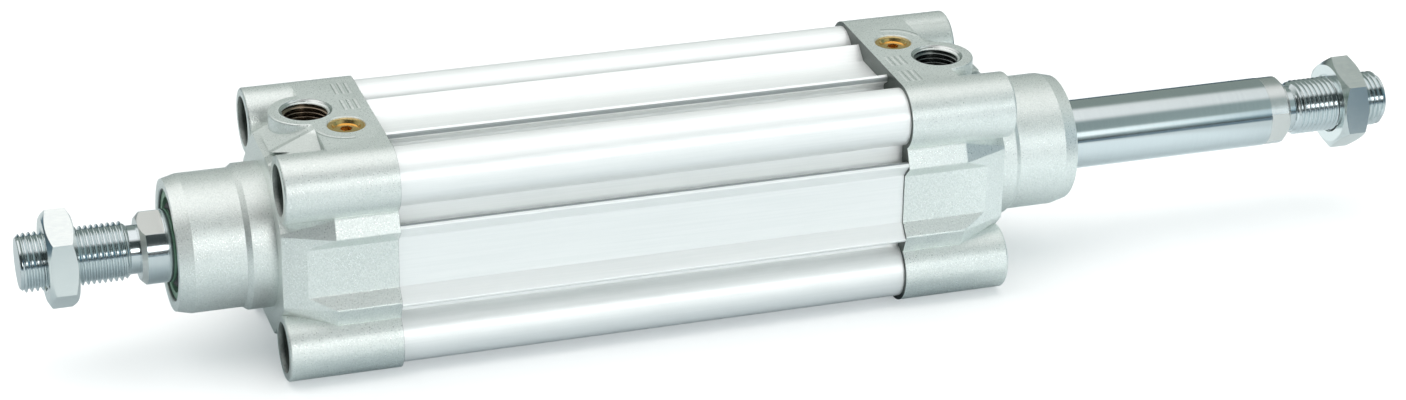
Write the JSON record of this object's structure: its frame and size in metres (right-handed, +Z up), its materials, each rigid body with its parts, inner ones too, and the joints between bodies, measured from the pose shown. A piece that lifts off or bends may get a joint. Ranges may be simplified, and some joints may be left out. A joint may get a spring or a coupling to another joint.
{
  "type": "double rod pneumatic cylinder",
  "caption": "Air cylinder with a rod out of both ends, profiled barrel with sensor slots, die-cast end covers with ports and cushion screws, and rod nuts.",
  "frame": {"origin": "on the rod axis, in the plane of the left cover's mounting face", "axes": "+X along the rods towards the rod end that stands out furthest, +Z up, the way the ports open, +Y to the back as the picture is seen"},
  "size_m": [0.4024, 0.065, 0.065],
  "materials": {
    "cast_cover": "fine grained die casting, pale grey green",
    "anodised_tube": "satin clear anodised extrusion",
    "chromed_rod": "ground and hard chromed",
    "plated_nut": "bright zinc plate",
    "plated_screw": "zinc plate, turned face",
    "brass_screw": "turned brass",
    "green_ring": "pale green moulded ring",
    "black_seal": "black rubber",
    "cushion_lip": "green polyurethane",
    "bronze_bush": "sintered bronze",
    "piston_alloy": "turned aluminium",
    "wear_band": "filled plastic guide band",
    "magnet": "plastic bonded magnet"
  },
  "bodies": {
    "barrel": {"barrel_tube": "anodised_tube", "left_cover": "cast_cover", "left_cover_screws": "plated_screw", "left_cover_gasket": "black_seal", "left_rod_bearing": "bronze_bush", "left_rod_seal": "black_seal", "left_rod_wiper": "black_seal", "left_retaining_ring": "green_ring", "left_cushion_seal": "cushion_lip", "right_cover": "cast_cover", "right_cover_screws": "plated_screw", "right_cover_gasket": "black_seal", "right_rod_bearing": "bronze_bush", "right_rod_seal": "black_seal", "right_rod_wiper": "black_seal", "right_retaining_ring": "green_ring", "right_cushion_seal": "cushion_lip"},
    "piston_rings": {"wear_ring": "wear_band", "left_piston_seal": "black_seal", "right_piston_seal": "black_seal"},
    "rod": {"left_piston_rod": "chromed_rod", "right_piston_rod": "chromed_rod", "left_piston_half": "piston_alloy", "right_piston_half": "piston_alloy", "left_bumper": "black_seal", "right_bumper": "black_seal", "magnet_ring": "magnet", "stud_ring": "black_seal"},
    "left_nut": {"left_rod_nut": "plated_nut"},
    "right_nut": {"right_rod_nut": "plated_nut"},
    "left_cushion_screw": {"left_cushion_screw": "brass_screw", "left_cushion_screw_ring": "black_seal"},
    "right_cushion_screw": {"right_cushion_screw": "brass_screw", "right_cushion_screw_ring": "black_seal"}
  },
  "joints": [
    {"name": "rod_slide", "type": "slide", "parent": "barrel", "child": "piston_rings", "axis": [1, 0, 0], "range_m": [-0.064, 0]},
    {"name": "rod_turn", "type": "hinge", "parent": "piston_rings", "child": "rod", "pos_m": [0.135, 0, 0], "axis": [1, 0, 0], "continuous": true},
    {"name": "left_nut_turn", "type": "hinge", "parent": "rod", "child": "left_nut", "pos_m": [-0.0552, 0, 0], "axis": [1, 0, 0], "continuous": true},
    {"name": "right_nut_turn", "type": "hinge", "parent": "rod", "child": "right_nut", "pos_m": [0.3242, 0, 0], "axis": [1, 0, 0], "continuous": true},
    {"name": "left_cushion_screw_turn", "type": "hinge", "parent": "barrel", "child": "left_cushion_screw", "pos_m": [0.02232, -0.0067, 0.03], "axis": [0, 0, 1], "range_deg": [-360, 360]},
    {"name": "right_cushion_screw_turn", "type": "hinge", "parent": "barrel", "child": "right_cushion_screw", "pos_m": [0.18368, 0.0067, 0.03], "axis": [0, 0, 1], "range_deg": [-360, 360]}
  ]
}
